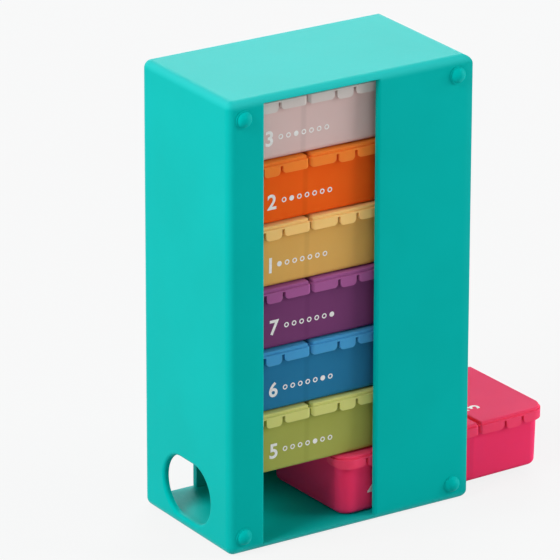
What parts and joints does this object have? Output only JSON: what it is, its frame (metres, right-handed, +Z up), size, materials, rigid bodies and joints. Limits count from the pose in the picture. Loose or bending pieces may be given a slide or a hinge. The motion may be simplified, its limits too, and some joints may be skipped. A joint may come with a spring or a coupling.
{
  "type": "weekly pill organizer",
  "caption": "Upright weekly pill organizer: a slip case with a front window and a finger hole holds a stack of coloured day trays that slide out sideways, with rear-hinged lids.",
  "frame": {"origin": "centre of the slip case's bottom face, on the surface that the case stands on", "axes": "+X to the right, the way the trays slide out; +Y to the back, away from the front window; +Z up"},
  "size_m": [0.1375, 0.0591, 0.166],
  "materials": {
    "case_shell": "satin, very fine moulded grain, opaque turquoise",
    "pink_tray": "smooth translucent polypropylene, slightly cloudy",
    "green_tray": "smooth translucent polypropylene, slightly cloudy",
    "blue_tray": "smooth translucent polypropylene, slightly cloudy",
    "purple_tray": "smooth translucent polypropylene, slightly cloudy",
    "yellow_tray": "smooth translucent polypropylene, slightly cloudy",
    "orange_tray": "smooth translucent polypropylene, slightly cloudy",
    "clear_tray": "smooth translucent polypropylene, slightly cloudy"
  },
  "bodies": {
    "case": {"slip_case": "case_shell"},
    "pink_box": {"pink_tray": "pink_tray", "pink_lid_left": "pink_tray", "pink_lid_middle": "pink_tray"},
    "green_box": {"green_tray": "green_tray", "green_lid_left": "green_tray", "green_lid_middle": "green_tray", "green_lid_right": "green_tray"},
    "blue_box": {"blue_tray": "blue_tray", "blue_lid_left": "blue_tray", "blue_lid_middle": "blue_tray", "blue_lid_right": "blue_tray"},
    "purple_box": {"purple_tray": "purple_tray", "purple_lid_left": "purple_tray", "purple_lid_middle": "purple_tray", "purple_lid_right": "purple_tray"},
    "yellow_box": {"yellow_tray": "yellow_tray", "yellow_lid_left": "yellow_tray", "yellow_lid_middle": "yellow_tray", "yellow_lid_right": "yellow_tray"},
    "orange_box": {"orange_tray": "orange_tray", "orange_lid_left": "orange_tray", "orange_lid_middle": "orange_tray", "orange_lid_right": "orange_tray"},
    "clear_box": {"clear_tray": "clear_tray", "clear_lid_left": "clear_tray", "clear_lid_middle": "clear_tray", "clear_lid_right": "clear_tray"},
    "pink_right_lid": {"pink_lid_right": "pink_tray"}
  },
  "joints": [
    {"name": "pink_box_slide", "type": "slide", "parent": "case", "child": "pink_box", "axis": [1, 0, 0], "range_m": [-0.0425, 0.048]},
    {"name": "green_box_slide", "type": "slide", "parent": "case", "child": "green_box", "axis": [-1, 0, 0], "range_m": [-0.09, 0.0018]},
    {"name": "blue_box_slide", "type": "slide", "parent": "case", "child": "blue_box", "axis": [-1, 0, 0], "range_m": [-0.09, 0.0016]},
    {"name": "purple_box_slide", "type": "slide", "parent": "case", "child": "purple_box", "axis": [-1, 0, 0], "range_m": [-0.09, 0.0018]},
    {"name": "yellow_box_slide", "type": "slide", "parent": "case", "child": "yellow_box", "axis": [-1, 0, 0], "range_m": [-0.09, 0.0015]},
    {"name": "orange_box_slide", "type": "slide", "parent": "case", "child": "orange_box", "axis": [-1, 0, 0], "range_m": [-0.09, 0.0008]},
    {"name": "clear_box_slide", "type": "slide", "parent": "case", "child": "clear_box", "axis": [-1, 0, 0], "range_m": [-0.09, 0]},
    {"name": "pink_right_lid_hinge", "type": "hinge", "parent": "pink_box", "child": "pink_right_lid", "pos_m": [0.07167, 0.02429, 0.0236], "axis": [-0.9994, -0.0349, 0], "range_deg": [0, 110]}
  ]
}
